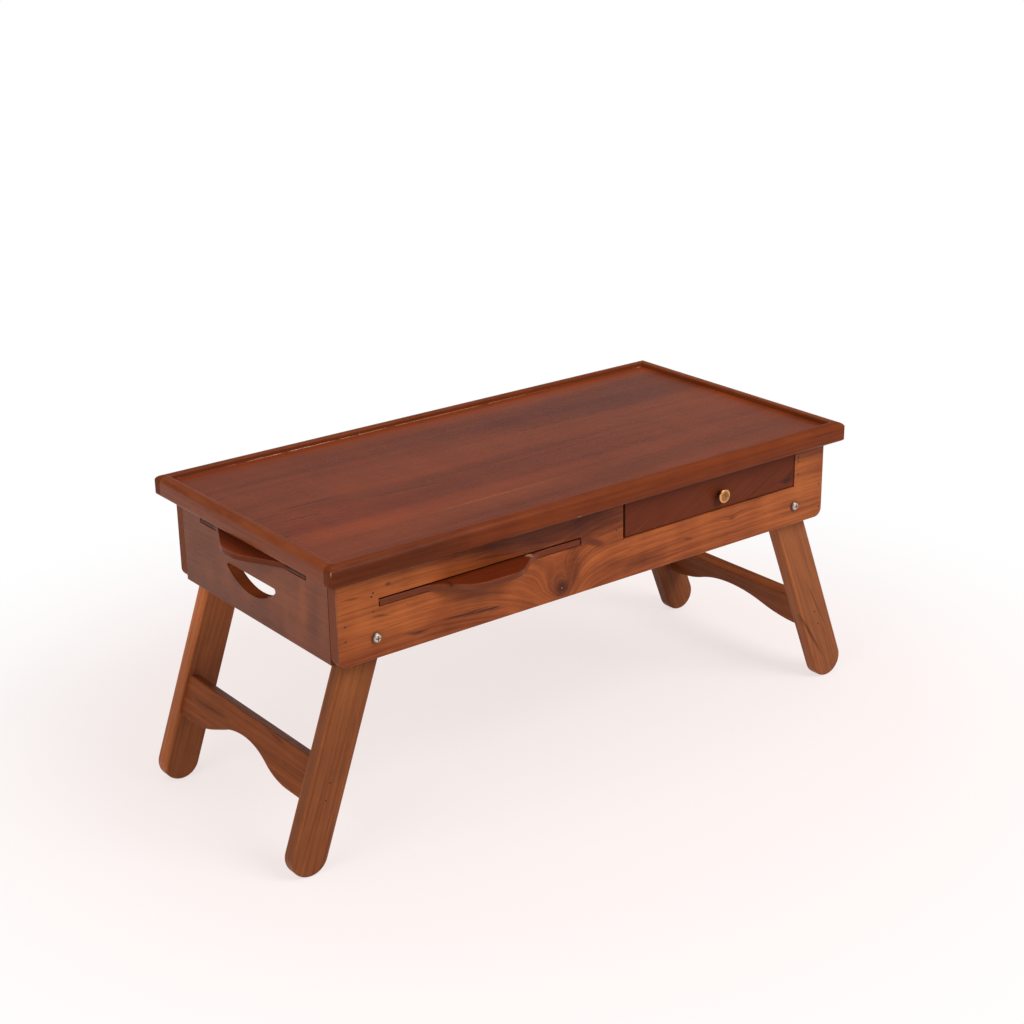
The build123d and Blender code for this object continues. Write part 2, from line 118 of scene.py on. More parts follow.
# where a point lies on its board: along the grain, across it and into it, with masks for its faces and edges
board_place, given, wanted = shared_group(
    "board place",
    {"Along": "Vector", "Across": "Vector", "Depth": "Vector"},
    {"Place": "Vector", "End Grain": "Float", "Flank": "Float", "Edge": "Float"},
)
tree = board_place
end_facing, flank_facing, edge_facing = (0.7, 0.98), (0.5, 0.2), (0.99, 0.8)
edge_patch_blotches, edge_patch_range = (30.0, 30.0, 30.0), (0.35, 0.62)
coordinates = tree.nodes.new("ShaderNodeTexCoord").outputs
axes = ("Along", "Across", "Depth")
parts = [vectors(tree, "DOT_PRODUCT", coordinates["Object"], given[axis]) for axis in axes]
place = put(tree, "CombineXYZ", dict(enumerate(parts)))
tree.links.new(place, wanted["Place"])
facing = [vectors(tree, "DOT_PRODUCT", coordinates["Normal"], given[axis]) for axis in axes]
facing = [sums(tree, "ABSOLUTE", part) for part in facing]
tree.links.new(ease(tree, facing[0], *end_facing), wanted["End Grain"])
tree.links.new(ease(tree, facing[2], *flank_facing), wanted["Flank"])
squarest = sums(tree, "MAXIMUM", sums(tree, "MAXIMUM", facing[0], facing[1]), facing[2])
# patches along the rounded edges: rubbed wear, and on the rims and pull-out lips partly a painted highlight
rubbed = ease(tree, mottle(tree, place, edge_patch_blotches, 3.0), *edge_patch_range)
edge = sums(tree, "MULTIPLY", ease(tree, squarest, *edge_facing), rubbed)
tree.links.new(edge, wanted["Edge"])

# the figure of a teak board: long irregular bands of growth, broad tone, soft cross-light, fibres and pores
teak_figure, given, wanted = shared_group(
    "teak figure",
    {
        "Place": "Vector",
        "Light": "Color",
        "Dark": "Color",
        "Streak": "Color",
        "Waver": "Float",
        "Band Width": "Float",
        "Band Show": "Float",
        "Tone Show": "Float",
        "Cross Show": "Float",
        "Fibre Show": "Float",
        "Streak Show": "Float",
    },
    {"Colour": "Color", "Dullness": "Float", "Height": "Float"},
)
tree = teak_figure
sway_blotches, ripple_blotches = (3.0, 9.0, 9.0), (17.0, 60.0, 60.0)
tone_blotches, cross_blotches = (2.2, 16.0, 16.0), (34.0, 22.0, 22.0)
fibre_blotches, pore_blotches = (14.0, 520.0, 520.0), (75.0, 1500.0, 1500.0)
band_blotches, streak_blotches = (1.0, 1.0, 1.0), (1.7, 2.2, 2.2)
band_draw = (0.02, 1.0, 1.0)
across_and_into = (0.0, 1.0, 1.0)
band_range, pore_range, streak_range = (0.32, 0.70), (0.6, 0.72), (0.57, 0.67)
ripple_share = 0.12
pore_dark, pore_dull, fibre_dull, fibre_hollow = 0.22, 0.15, 0.3, 0.5
middle_grey = (0.5, 0.5, 0.5)
sway = vectors(tree, "SUBTRACT", mottle(tree, given["Place"], sway_blotches, 1.5, "Color"), middle_grey)
ripple = vectors(tree, "SUBTRACT", mottle(tree, given["Place"], ripple_blotches, 2.0, "Color"), middle_grey)
sway = vectors(tree, "ADD", sway, scaled(tree, ripple, ripple_share))
sway = vectors(tree, "MULTIPLY", scaled(tree, sway, given["Waver"]), across_and_into)
bent = vectors(tree, "ADD", given["Place"], sway)
banded = vectors(tree, "MULTIPLY", bent, band_draw)
banded = scaled(tree, banded, sums(tree, "DIVIDE", 1.0, given["Band Width"]))
bands = ease(tree, mottle(tree, banded, band_blotches, 2.5), *band_range)
tone = mottle(tree, bent, tone_blotches, 1.5)
cross = mottle(tree, given["Place"], cross_blotches, 1.5)
fibre = mottle(tree, bent, fibre_blotches, 4.0)
pores = ease(tree, mottle(tree, bent, pore_blotches, 1.0), *pore_range)
streak = ease(tree, mottle(tree, banded, streak_blotches, 3.0), *streak_range)


def shown(mask, strength):
    # how much a mask adds to the darkness, counted from its middle
    return sums(teak_figure, "MULTIPLY", sums(teak_figure, "SUBTRACT", mask, 0.5), given[strength])


darkness = sums(tree, "ADD", shown(bands, "Band Show"), shown(fibre, "Fibre Show"))
darkness = sums(tree, "ADD", darkness, shown(tone, "Tone Show"))
darkness = sums(tree, "ADD", darkness, shown(cross, "Cross Show"))
darkness = sums(tree, "ADD", darkness, 0.5)
darkness.node.use_clamp = True
colour = tint(tree, darkness, given["Light"], given["Dark"])
colour = tint(tree, sums(tree, "MULTIPLY", streak, given["Streak Show"]), colour, given["Streak"])
colour = tint(tree, sums(tree, "MULTIPLY", pores, pore_dark), colour, given["Streak"])
tree.links.new(colour, wanted["Colour"])
dull = sums(tree, "MULTIPLY", sums(tree, "SUBTRACT", fibre, 0.5), fibre_dull)
tree.links.new(sums(tree, "ADD", dull, sums(tree, "MULTIPLY", pores, pore_dull)), wanted["Dullness"])
hollow = sums(tree, "ADD", sums(tree, "MULTIPLY", fibre, fibre_hollow), pores)
tree.links.new(sums(tree, "SUBTRACT", 1.0, hollow), wanted["Height"])

# a knot: it lifts the grain into nested loops, crowded on one side, with faint rings and a dark core
knot_swirl, given, wanted = shared_group(
    "knot swirl",
    {
        "Place": "Vector",
        "Bent Place": "Vector",
        "Middle": "Vector",
        "Size": "Float",
        "Stretch": "Float",
        "Tight": "Float",
        "Lift": "Float",
    },
    {"Bent Place": "Vector", "Rings": "Float", "Core": "Float"},
)
tree = knot_swirl
wobble_blotches = (45.0, 45.0, 45.0)
wobble_share, knot_years = 0.22, 6.0
ring_rise, ring_drop, ring_fade, core_fade = (0.2, 0.9), (1.0, 0.9), (1.0, 0.25), (0.62, 0.05)
away = vectors(tree, "SUBTRACT", given["Place"], given["Middle"])
aside = put(tree, "SeparateXYZ", {0: away}, None)
crowded = sums(tree, "MULTIPLY_ADD", sums(tree, "MAXIMUM", aside["X"], 0.0), given["Tight"], aside["X"])
crowded = sums(tree, "MULTIPLY", crowded, given["Stretch"])
flat = put(tree, "CombineXYZ", {"X": crowded, "Y": aside["Y"]})
span = sums(tree, "DIVIDE", vectors(tree, "LENGTH", flat), given["Size"])
wobble = sums(tree, "SUBTRACT", mottle(tree, given["Place"], wobble_blotches, 3.0), 0.5)
span = sums(tree, "ADD", span, sums(tree, "MULTIPLY", wobble, wobble_share))
fall = sums(tree, "EXPONENT", sums(tree, "MULTIPLY", span, -1.0))
shift = put(tree, "CombineXYZ", {"Y": sums(tree, "MULTIPLY", fall, given["Lift"])})
tree.links.new(vectors(tree, "ADD", given["Bent Place"], shift), wanted["Bent Place"])
knot_year = sums(tree, "FRACT", sums(tree, "MULTIPLY", span, knot_years))
knot_ring = sums(tree, "MULTIPLY", ease(tree, knot_year, *ring_rise), ease(tree, knot_year, *ring_drop))
tree.links.new(sums(tree, "MULTIPLY", knot_ring, ease(tree, span, *ring_fade)), wanted["Rings"])
tree.links.new(ease(tree, span, *core_fade), wanted["Core"])


def knot(middle, size, stretch, lift, strength, tight=0.0):
    # one knot: its middle and size, how much it is shortened along the grain, and more so on the right side,
    # how far it lifts the grain, and how strong its rings and core are
    sockets = {"Middle": middle, "Size": size, "Stretch": stretch, "Tight": tight, "Lift": lift}
    return sockets, strength


# one mark on a board, such as a mineral streak, a nick or a soft shade: long, leaning, more or less ragged
board_mark, given, wanted = shared_group(
    "board mark",
    {
        "Place": "Vector",
        "Middle": "Vector",
        "Size": "Vector",
        "Lean": "Float",
        "Rag": "Float",
        "Core": "Float",
    },
    {"Mask": "Float"},
)
tree = board_mark
rag_blotches = (40.0, 700.0, 700.0)
away = vectors(tree, "SUBTRACT", given["Place"], given["Middle"])
along = put(tree, "SeparateXYZ", {0: away})
drift = put(tree, "CombineXYZ", {"Y": sums(tree, "MULTIPLY", along, given["Lean"])})
away = vectors(tree, "DIVIDE", vectors(tree, "SUBTRACT", away, drift), given["Size"])
ragged = sums(tree, "SUBTRACT", mottle(tree, given["Place"], rag_blotches, 3.0), 0.5)
ragged = sums(tree, "ADD", vectors(tree, "LENGTH", away), sums(tree, "MULTIPLY", ragged, given["Rag"]))
tree.links.new(ease(tree, ragged, 1.0, given["Core"]), wanted["Mask"])


def stain(middle, size, colour, strength, lean=0.0, rag=0.8, core=0.35, blend="MIX"):
    # one mark that covers the wood: its middle, half sizes, colour and strength, how far it leans, how ragged
    # it is, the share of it that is full, and how its colour is laid on
    sockets = {"Middle": middle, "Size": size, "Lean": lean, "Rag": rag, "Core": core}
    return sockets, colour, strength, blend


def shade(middle, size, colour, strength, lean=0.0, rag=0.5, core=0.1):
    # one soft mark that darkens or brightens the wood under it
    return stain(middle, size, colour, strength, lean, rag, core, "MULTIPLY")


flank_shade_show, ring_show, core_show = 0.8, 0.4, 0.9
end_grain_show, end_grain_dull = 0.6, 0.2
pore_depth = 0.0003


def teak_finish(
    name, along, across, figure, polish, gloss, wear_and_highlight, wear_and_highlight_share=0.35, knots=(), marks=(), flank_shade=None, relief=0.2
):
    # a polished teak board: its figure, knots and marks, lighter edges and darker end grain
    # the lighter edges are rubbed wear, and on the rims and pull-out lips partly a painted highlight
    material = bpy.data.materials.new(name)
    material.use_nodes = True
    tree = material.node_tree
    shader = tree.nodes["Principled BSDF"]
    board = use(tree, board_place, {"Along": along, "Across": across, "Depth": along.cross(across)})
    bent = board["Place"]
    swirls = []
    for sockets, strength in knots:
        swirl = use(tree, knot_swirl, {"Place": board["Place"], "Bent Place": bent, **sockets})
        swirls.append((swirl, strength))
        bent = swirl["Bent Place"]
    grain = use(tree, teak_figure, {"Place": bent, **figure})
    colour = grain["Colour"]
    # painted shade: where a flank colour is given, the board's edge faces are darkened towards it
    if flank_shade:
        colour = tint(tree, sums(tree, "MULTIPLY", board["Flank"], flank_shade_show), colour, flank_shade)
    for swirl, strength in swirls:
        for mask, show in (("Rings", ring_show), ("Core", core_show)):
            share = sums(tree, "MULTIPLY", swirl[mask], show * strength)
            colour = tint(tree, share, colour, figure["Streak"])
    for sockets, mark_colour, strength, blend in marks:
        mask = use(tree, board_mark, {"Place": board["Place"], **sockets})["Mask"]
        colour = tint(tree, sums(tree, "MULTIPLY", mask, strength), colour, mark_colour, blend)
    # edges lighter in patches: rubbed wear, and on the rims and pull-out lips partly a painted highlight
    colour = tint(tree, sums(tree, "MULTIPLY", board["Edge"], wear_and_highlight_share), colour, wear_and_highlight)
    colour = tint(tree, sums(tree, "MULTIPLY", board["End Grain"], end_grain_show), colour, figure["Dark"])
    tree.links.new(colour, shader.inputs["Base Color"])
    end_dull = sums(tree, "MULTIPLY", board["End Grain"], end_grain_dull)
    dullness = sums(tree, "ADD", grain["Dullness"], end_dull)
    tree.links.new(sums(tree, "ADD", dullness, polish), shader.inputs["Roughness"])
    bump = {"Strength": relief, "Distance": pore_depth, "Height": grain["Height"]}
    tree.links.new(put(tree, "Bump", bump), shader.inputs["Normal"])
    shader.inputs["Specular IOR Level"].default_value = gloss
    return material


def finish(material, *names):
    # give CAD pieces their material
    for name in names:
        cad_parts[name].material_slots[0].material = material


apron_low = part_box("apron_front")[0]
mineral = (0.040, 0.013, 0.008, 1.0)
russet = (0.11, 0.022, 0.008, 1.0)
pale_nick = (0.62, 0.36, 0.20, 1.0)
end_brown = (0.150, 0.058, 0.036, 1.0)
knot_pith = (0.40, 0.22, 0.15, 1.0)
slot_end_shade = (0.02, 0.009, 0.006, 1.0)
light_teak = {
    "Light": (0.425, 0.106, 0.024, 1.0),
    "Dark": (0.175, 0.033, 0.008, 1.0),
    "Streak": (0.070, 0.015, 0.006, 1.0),
    "Waver": 0.020,
    "Band Width": 0.0036,
    "Band Show": 0.42,
    "Tone Show": 1.10,
    "Cross Show": 0.85,
    "Fibre Show": 0.90,
    "Streak Show": 0.30,
}


def on_front(x, rise):
    # a spot on the face of the front apron board, given by its rise above the board's lower edge
    return (x, apron_low.z + rise, -apron_low.y)


# browner end grain at the left end, soft shades over parts of the board, among them painted shade above the
# slot under the rim and painted shade under the lip, then the knot's pith, painted shade in the dark end of
# the slot, mineral streaks and short dark spots
front_end = stain(on_front(apron_low.x, 0.04), (0.0016, 0.2, 0.2), end_brown, 0.8, rag=0.1, core=0.5)
front_marks = [
    front_end,
    shade(on_front(-0.255, 0.045), (0.085, 0.075, 0.02), (1.08, 1.15, 1.15, 1.0), 0.9, core=0.2),
    shade(on_front(0.262, 0.035), (0.080, 0.080, 0.02), (1.10, 1.20, 1.20, 1.0), 0.9, core=0.2),
    # painted shade above the slot, under the rim
    shade(on_front(-0.070, 0.071), (0.150, 0.027, 0.02), (0.37, 0.31, 0.38, 1.0), 0.95, -0.06, core=0.35),
    shade(on_front(0.004, 0.056), (0.034, 0.030, 0.02), (0.78, 0.72, 0.72, 1.0), 0.8, core=0.3),
    shade(on_front(-0.047, 0.018), (0.034, 0.030, 0.02), (0.66, 0.62, 0.66, 1.0), 0.8, core=0.2),
    shade(on_front(0.030, 0.016), (0.070, 0.012, 0.02), (0.66, 0.62, 0.66, 1.0), 0.7, -0.12, rag=0.6),
    # painted shade on the board under the pull-out lip
    shade(on_front(-0.147, 0.036), (0.042, 0.020, 0.02), (0.50, 0.52, 0.62, 1.0), 0.75, -0.25, rag=0.6),
    shade(on_front(-0.150, 0.006), (0.110, 0.016, 0.02), (0.70, 0.66, 0.70, 1.0), 0.5, rag=0.6),
    shade(on_front(-0.033, 0.028), (0.010, 0.034, 0.02), (0.52, 0.46, 0.50, 1.0), 0.7, rag=1.0),
    stain(on_front(-0.0486, 0.0108), (0.0012, 0.0012, 0.01), knot_pith, 0.6, rag=0.2, core=0.3),
    # painted shade in the dark right end of the slot
    stain(on_front(-0.0257, 0.0502), (0.0010, 0.0046, 0.02), slot_end_shade, 0.85, rag=0.3, core=0.5),
    stain(on_front(-0.010, 0.046), (0.017, 0.0055, 0.01), russet, 0.85, -0.35, rag=0.6, core=0.3),
    stain(on_front(-0.139, 0.0134), (0.030, 0.0030, 0.01), mineral, 0.85, -0.08, rag=2.2, core=0.2),
    stain(on_front(-0.160, 0.0150), (0.026, 0.0018, 0.01), mineral, 0.55, -0.08, rag=2.2, core=0.2),
    stain(on_front(-0.2097, 0.0121), (0.017, 0.0026, 0.01), mineral, 0.85, -0.08, rag=2.2, core=0.2),
    stain(on_front(-0.247, 0.0386), (0.011, 0.0018, 0.01), mineral, 0.55, -0.15, rag=2.2, core=0.2),
    stain(on_front(-0.276, 0.0616), (0.013, 0.0015, 0.01), mineral, 0.45, -0.10, rag=2.2, core=0.2),
    stain(on_front(-0.239, 0.0656), (0.0045, 0.0022, 0.01), mineral, 0.65, rag=1.2, core=0.25),
    stain(on_front(0.108, 0.0200), (0.008, 0.0020, 0.01), russet, 0.6, -0.15, rag=1.0),
    stain(on_front(0.060, 0.0100), (0.050, 0.0040, 0.01), russet, 0.35, -0.05, core=0.2),
]
front_knots = [
    knot(on_front(-0.0490, 0.0110), size=0.026, stretch=0.75, lift=0.062, strength=0.0, tight=1.3),
    knot(on_front(-0.0486, 0.0108), size=0.0165, stretch=0.85, lift=0.006, strength=1.0),
    knot(on_front(0.1660, 0.0274), size=0.0045, stretch=0.60, lift=0.005, strength=0.4),
]
apron_front_teak = teak_finish(
    "apron_front_teak",
    along=lengthways,
    across=upwards,
    figure=light_teak,
    polish=0.42,
    gloss=0.14,
    wear_and_highlight=(0.50, 0.16, 0.05, 1.0),
    knots=front_knots,
    marks=front_marks,
)
finish(apron_front_teak, "apron_front")

# Back apron board: the plain twin of the front one, with neither slot nor opening.
# Solid teak from a browner plank, with straight grain and no big knot.
back_teak = {
    **light_teak,
    "Light": (0.300, 0.076, 0.020, 1.0),
    "Dark": (0.140, 0.030, 0.008, 1.0),
    "Waver": 0.012,
}
apron_back_teak = teak_finish(
    "apron_back_teak",
    along=lengthways,
    across=upwards,
    figure=back_teak,
    polish=0.40,
    gloss=0.15,
    wear_and_highlight=(0.36, 0.11, 0.036, 1.0),
    marks=[front_end],
)
finish(apron_back_teak, "apron_back")

# End apron boards: two short boards between the long ones, each with a half-moon hand hole.
# Brown teak with a closed, waxed surface that catches the light of the floor; the grain runs across the desk.
brown_teak = {
    "Light": (0.250, 0.065, 0.021, 1.0),
    "Dark": (0.115, 0.027, 0.009, 1.0),
    "Streak": (0.045, 0.016, 0.009, 1.0),
    "Waver": 0.02,
    "Band Width": 0.009,
    "Band Show": 0.18,
    "Tone Show": 1.20,
    "Cross Show": 1.30,
    "Fibre Show": 0.25,
    "Streak Show": 0.12,
}
end_low, end_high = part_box("apron_left")
pale_cloud = (end_low.y + 0.040, end_low.z + 0.040, end_low.x)
end_middle = (end_low + end_high) / 2
hand_hole = (end_middle.y, end_middle.z, end_middle.x)
within_board = 0.95 * (end_high.x - end_low.x) / 2
end_marks = [
    shade(pale_cloud, (0.012, 0.040, 0.05), (1.45, 1.40, 1.10, 1.0), 0.6, rag=0.6),
    shade(hand_hole, (0.10, 0.10, within_board), (1.7, 1.5, 1.2, 1.0), 1.0, rag=0.0, core=0.8),
]
apron_end_teak = teak_finish(
    "apron_end_teak",
    along=crossways,
    across=upwards,
    figure=brown_teak,
    polish=0.36,
    gloss=0.13,
    wear_and_highlight=(0.26, 0.085, 0.035, 1.0),
    marks=end_marks,
    relief=0.1,
)
finish(apron_end_teak, "apron_left", "apron_right")

# Nails in the apron: small finishing nails that hold the long boards to the end boards and the guides.
# Dark steel, punched just level with the wood, so that each shows as a small dark dot.
nail_radius = 0.0010
nail_rise = 0.00012
nail_sides = 12
# share of the radius and share of the rise of each ring of a nail head, from the wood to its dished middle
nail_rings = ((1.0, 0.0), (0.85, 1.0), (0.45, 0.6))


def piece_of(name, made):
    # an object from a finished bmesh
    mesh = bpy.data.meshes.new(name)
    made.to_mesh(mesh)
    made.free()
    piece = bpy.data.objects.new(name, mesh)
    bpy.context.scene.collection.objects.link(piece)
    return piece


def nail_heads(name, spots, facing, body):
    # shallow dished discs on a surface, one for each spot
    made = bmesh.new()
    turn = facing.to_track_quat("Z", "Y")
    for spot in spots:
        rows = []
        for share, rise in nail_rings:
            reach = share * nail_radius
            row = []
            for step in range(nail_sides):
                angle = step * 2 * pi / nail_sides
                point = Vector((reach * cos(angle), reach * sin(angle), rise * nail_rise))
                row.append(made.verts.new(Vector(spot) + turn @ point))
            rows.append(row)
        for inner, outer in zip(rows[1:], rows[:-1]):
            for step in range(nail_sides):
                after = (step + 1) % nail_sides
                made.faces.new((outer[step], outer[after], inner[after], inner[step]))
        made.faces.new(rows[-1])
    piece = piece_of(name, made)
    piece.data.materials.append(dark_steel)
    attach(piece, body)


def bare_finish(name):
    # a new material: itself, its nodes, its shader and the place of a point on the piece
    material = bpy.data.materials.new(name)
    material.use_nodes = True
    tree = material.node_tree
    spot_place = tree.nodes.new("ShaderNodeTexCoord").outputs["Object"]
    return material, tree, tree.nodes["Principled BSDF"], spot_place


rust_blotches, rust_dullness = (900.0, 900.0, 900.0), (0.0, 1.6)
nail_black, nail_rust = (0.02, 0.012, 0.009, 1.0), (0.09, 0.040, 0.020, 1.0)
dark_steel, tree, shader, spot_place = bare_finish("dark_steel")
rust = mottle(tree, spot_place, rust_blotches, 3.0)
nail_colour = tint(tree, rust, nail_black, nail_rust)
tree.links.new(nail_colour, shader.inputs["Base Color"])
tree.links.new(ease(tree, rust, *rust_dullness), shader.inputs["Roughness"])
shader.inputs["Specular IOR Level"].default_value = 0.2

# places along the board and rises above its lower edge
front_spots = (
    (-0.2543, 0.0614),
    (-0.2562, 0.0583),
    (-0.2549, 0.0443),
    (-0.2838, 0.0242),
    (-0.2836, 0.0378),
    (-0.0278, 0.0611),
    (0.0167, 0.0680),
    (0.0179, 0.0603),
    (0.0168, 0.0517),
    (0.2557, 0.0702),
    (0.2559, 0.0660),
    (0.2561, 0.0522),
    (0.2868, 0.0351),
    (0.2878, 0.0106),
)
spots = [(x, apron_low.y, apron_low.z + rise) for x, rise in front_spots]
nail_heads("front_nails", spots, -crossways, "table")
# the back board has only the nails into the end boards, which lie beyond this distance from the middle
end_board_from = 0.28
back_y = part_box("apron_back")[1].y
spots = [(-x, back_y, apron_low.z + rise) for x, rise in front_spots if abs(x) > end_board_from]
nail_heads("back_nails", spots, crossways, "table")

# Inner guides: grooved strips behind the slots, walls beside the drawer, and the drawer's runners.
# Plain unpolished wood, glued and pinned inside the apron box where it is seldom seen.
plain_wood = {
    "Light": (0.42, 0.235, 0.115, 1.0),
    "Dark": (0.26, 0.125, 0.055, 1.0),
    "Streak": (0.10, 0.045, 0.02, 1.0),
    "Waver": 0.01,
    "Band Width": 0.004,
    "Band Show": 0.55,
    "Tone Show": 0.80,
    "Cross Show": 0.20,
    "Fibre Show": 0.70,
    "Streak Show": 0.15,
}
unpolished = {"polish": 0.65, "gloss": 0.2, "wear_and_highlight": (0.50, 0.30, 0.16, 1.0), "relief": 0.4}
along_y_wood = teak_finish("guide_wood_back", crossways, upwards, plain_wood, **unpolished)
along_x_wood = teak_finish("guide_wood_side", lengthways, crossways, plain_wood, **unpolished)
finish(along_y_wood, "front_board_guide_left", "front_board_guide_right")
finish(along_y_wood, "drawer_guide_left", "drawer_guide_right", "drawer_runner_left", "drawer_runner_right")
finish(along_x_wood, "side_board_guide_front", "side_board_guide_back")

# Tray top panel: a flat panel of red-brown teak glued up from boards that run the length of the desk.
# French-polished smooth, so that it mirrors the foot of the rim; the front board is greyer than the others,
# with a thin bright joint behind it, and a few dark mineral lines lie near the left end.
panel_low, panel_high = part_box("top_panel")
panel_teak = {
    "Light": (0.285, 0.051, 0.011, 1.0),
    "Dark": (0.115, 0.018, 0.005, 1.0),
    "Streak": (0.060, 0.012, 0.005, 1.0),
    "Waver": 0.018,
    "Band Width": 0.011,
    "Band Show": 0.22,
    "Tone Show": 1.50,
    "Cross Show": 0.40,
    "Fibre Show": 0.28,
    "Streak Show": 0.10,
}


def on_panel(x, y):
    # a spot on the panel's upper face, in its own along, across and depth
    return (x, y, panel_high.z)


joint_y, joint_lean = -0.0811, 0.008
joint_bright = (0.40, 0.11, 0.035, 1.0)
strip_half = (joint_y - panel_low.y) / 2
strip_spot = on_panel(0.0, panel_low.y + strip_half)
strip_grey = (0.84, 0.88, 0.94, 1.0)
joint_spot = on_panel(-0.075, joint_y)
panel_marks = [
    shade(strip_spot, (3.0, strip_half, 0.01), strip_grey, 0.65, joint_lean, rag=0.02, core=0.94),
    shade(on_panel(0.200, 0.040), (0.150, 0.100, 0.01), (0.80, 0.90, 1.0, 1.0), 0.5, core=0.2),
    shade(on_panel(-0.215, -0.045), (0.120, 0.060, 0.01), (1.18, 0.95, 0.80, 1.0), 0.5, core=0.2),
    stain(joint_spot, (0.125, 0.0010, 0.01), joint_bright, 0.55, joint_lean, rag=0.5, core=0.3),
    shade(on_panel(-0.060, -0.010), (0.200, 0.026, 0.01), (0.72, 0.70, 0.78, 1.0), 0.55, 0.06),
    shade(on_panel(-0.130, -0.085), (0.240, 0.024, 0.01), (1.22, 1.30, 1.15, 1.0), 0.8, -0.05),
    shade(on_panel(0.180, -0.075), (0.160, 0.016, 0.01), (1.16, 1.22, 1.10, 1.0), 0.6, -0.07),
    stain(on_panel(-0.230, 0.010), (0.045, 0.0022, 0.01), mineral, 0.55, -0.01, rag=1.2),
    stain(on_panel(-0.252, -0.0164), (0.030, 0.0020, 0.01), mineral, 0.5, -0.08, rag=1.2),
    stain(on_panel(-0.135, -0.0156), (0.058, 0.0034, 0.01), mineral, 0.4, -0.11, rag=1.2, core=0.25),
    stain(on_panel(-0.286, -0.0479), (0.004, 0.0016, 0.01), mineral, 0.7),
]
top_teak = teak_finish(
    "top_panel_teak",
    along=lengthways,
    across=crossways,
    figure=panel_teak,
    polish=0.20,
    gloss=0.40,
    wear_and_highlight=(0.24, 0.06, 0.02, 1.0),
    marks=panel_marks,
    relief=0.04,
)
finish(top_teak, "top_panel")

# Rim rails: four rails glued round the panel, rounded along the top so that they stand up as a low lip.
# Dark red-brown teak; the long rails run past the ends of the short ones and show end grain at the corners.
rim_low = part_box("rim_front")[0]
rim_teak = {
    "Light": (0.206, 0.041, 0.010, 1.0),
    "Dark": (0.116, 0.021, 0.0055, 1.0),
    "Streak": (0.045, 0.011, 0.005, 1.0),
    "Waver": 0.008,
    "Band Width": 0.0032,
    "Band Show": 0.45,
    "Tone Show": 0.80,
    "Cross Show": 0.60,
    "Fibre Show": 0.55,
    "Streak Show": 0.15,
}
# the rails' rounded tops are lighter orange in patches: partly wear, partly a painted highlight, strongest on
# the short rails
rim_wear_and_highlight = (0.290, 0.076, 0.022, 1.0)


def on_rim(x, y, rise):
    # a spot on the front rail, given by its depth behind the rail's face and its rise above the lower face
    return (x, rim_low.y + y, rim_low.z + rise)


corner_chip = 0.0008
rim_marks = [
    shade(on_rim(-0.245, 0.0, 0.008), (0.110, 0.006, 0.040), (0.64, 0.64, 0.68, 1.0), 0.95, core=0.4),
    stain(on_rim(-0.040, 0.0, 0.0021), (0.0032, 0.002, 0.0005), pale_nick, 0.75),
    stain(on_rim(0.019, 0.0, 0.0008), (0.0010, 0.002, 0.0007), pale_nick, 0.75),
    stain(on_rim(-0.198, 0.001, 0.0186), (0.005, 0.002, 0.0005), pale_nick, 0.5),
    stain(on_rim(0.272, 0.0, 0.0130), (0.030, 0.008, 0.0013), mineral, 0.55, rag=1.0, core=0.2),
    stain(
        on_rim(rim_low.x + corner_chip, corner_chip, 0.0155),
        (corner_chip, corner_chip, 0.0045),
        pale_nick,
        0.6,
    ),
]
long_rail_teak = teak_finish(
    "rim_long_teak",
    along=lengthways,
    across=crossways,
    figure=rim_teak,
    polish=0.34,
    gloss=0.07,
    wear_and_highlight=rim_wear_and_highlight,
    wear_and_highlight_share=0.12,
    marks=rim_marks,
    relief=0.1,
)
side_rail = {**rim_teak, "Light": (0.262, 0.058, 0.015, 1.0), "Dark": (0.165, 0.033, 0.009, 1.0)}
short_rail_teak = teak_finish(
    "rim_short_teak",
    along=crossways,
    across=-lengthways,
    figure=side_rail,
    polish=0.36,
    gloss=0.11,
    wear_and_highlight=rim_wear_and_highlight,
    wear_and_highlight_share=0.5,
    relief=0.1,
)
finish(long_rail_teak, "rim_front", "rim_back")
finish(short_rail_teak, "rim_left", "rim_right")

# Glue line: the thin bead of glue at the foot of the back rail, where the panel meets it.
# Hardened glue, pale and broken where the stain missed it, wiped flat into the corner.
bead = 0.0004
bead_inset = 0.002
# how far the bead stands out from the rail and up from the panel
bead_profile = ((0.0, bead), (0.45 * bead, 0.35 * bead), (1.3 * bead, 0.0), (0.0, -bead))
bead_sides = len(bead_profile)
made = bmesh.new()
ends = []
for end_x in (panel_low.x + bead_inset, panel_high.x - bead_inset):
    foot = Vector((end_x, panel_high.y, panel_high.z))
    ends.append([made.verts.new(foot + Vector((0.0, -out, up))) for out, up in bead_profile])
for step in range(bead_sides):
    after = (step + 1) % bead_sides
    made.faces.new((ends[0][step], ends[1][step], ends[1][after], ends[0][after]))
made.faces.new(ends[0])
made.faces.new(ends[1])
bmesh.ops.recalc_face_normals(made, faces=made.faces)
glue_line = piece_of("glue_line", made)
glue_blotches, missed_range, glue_gloss = (60.0, 60.0, 60.0), (0.40, 0.55), (1.6, -1.0)
stained_glue, pale_glue = (0.085, 0.018, 0.007, 1.0), (0.34, 0.15, 0.08, 1.0)
glue_finish, tree, shader, spot_place = bare_finish("glue_finish")
missed = ease(tree, mottle(tree, spot_place, glue_blotches, 4.0), *missed_range)
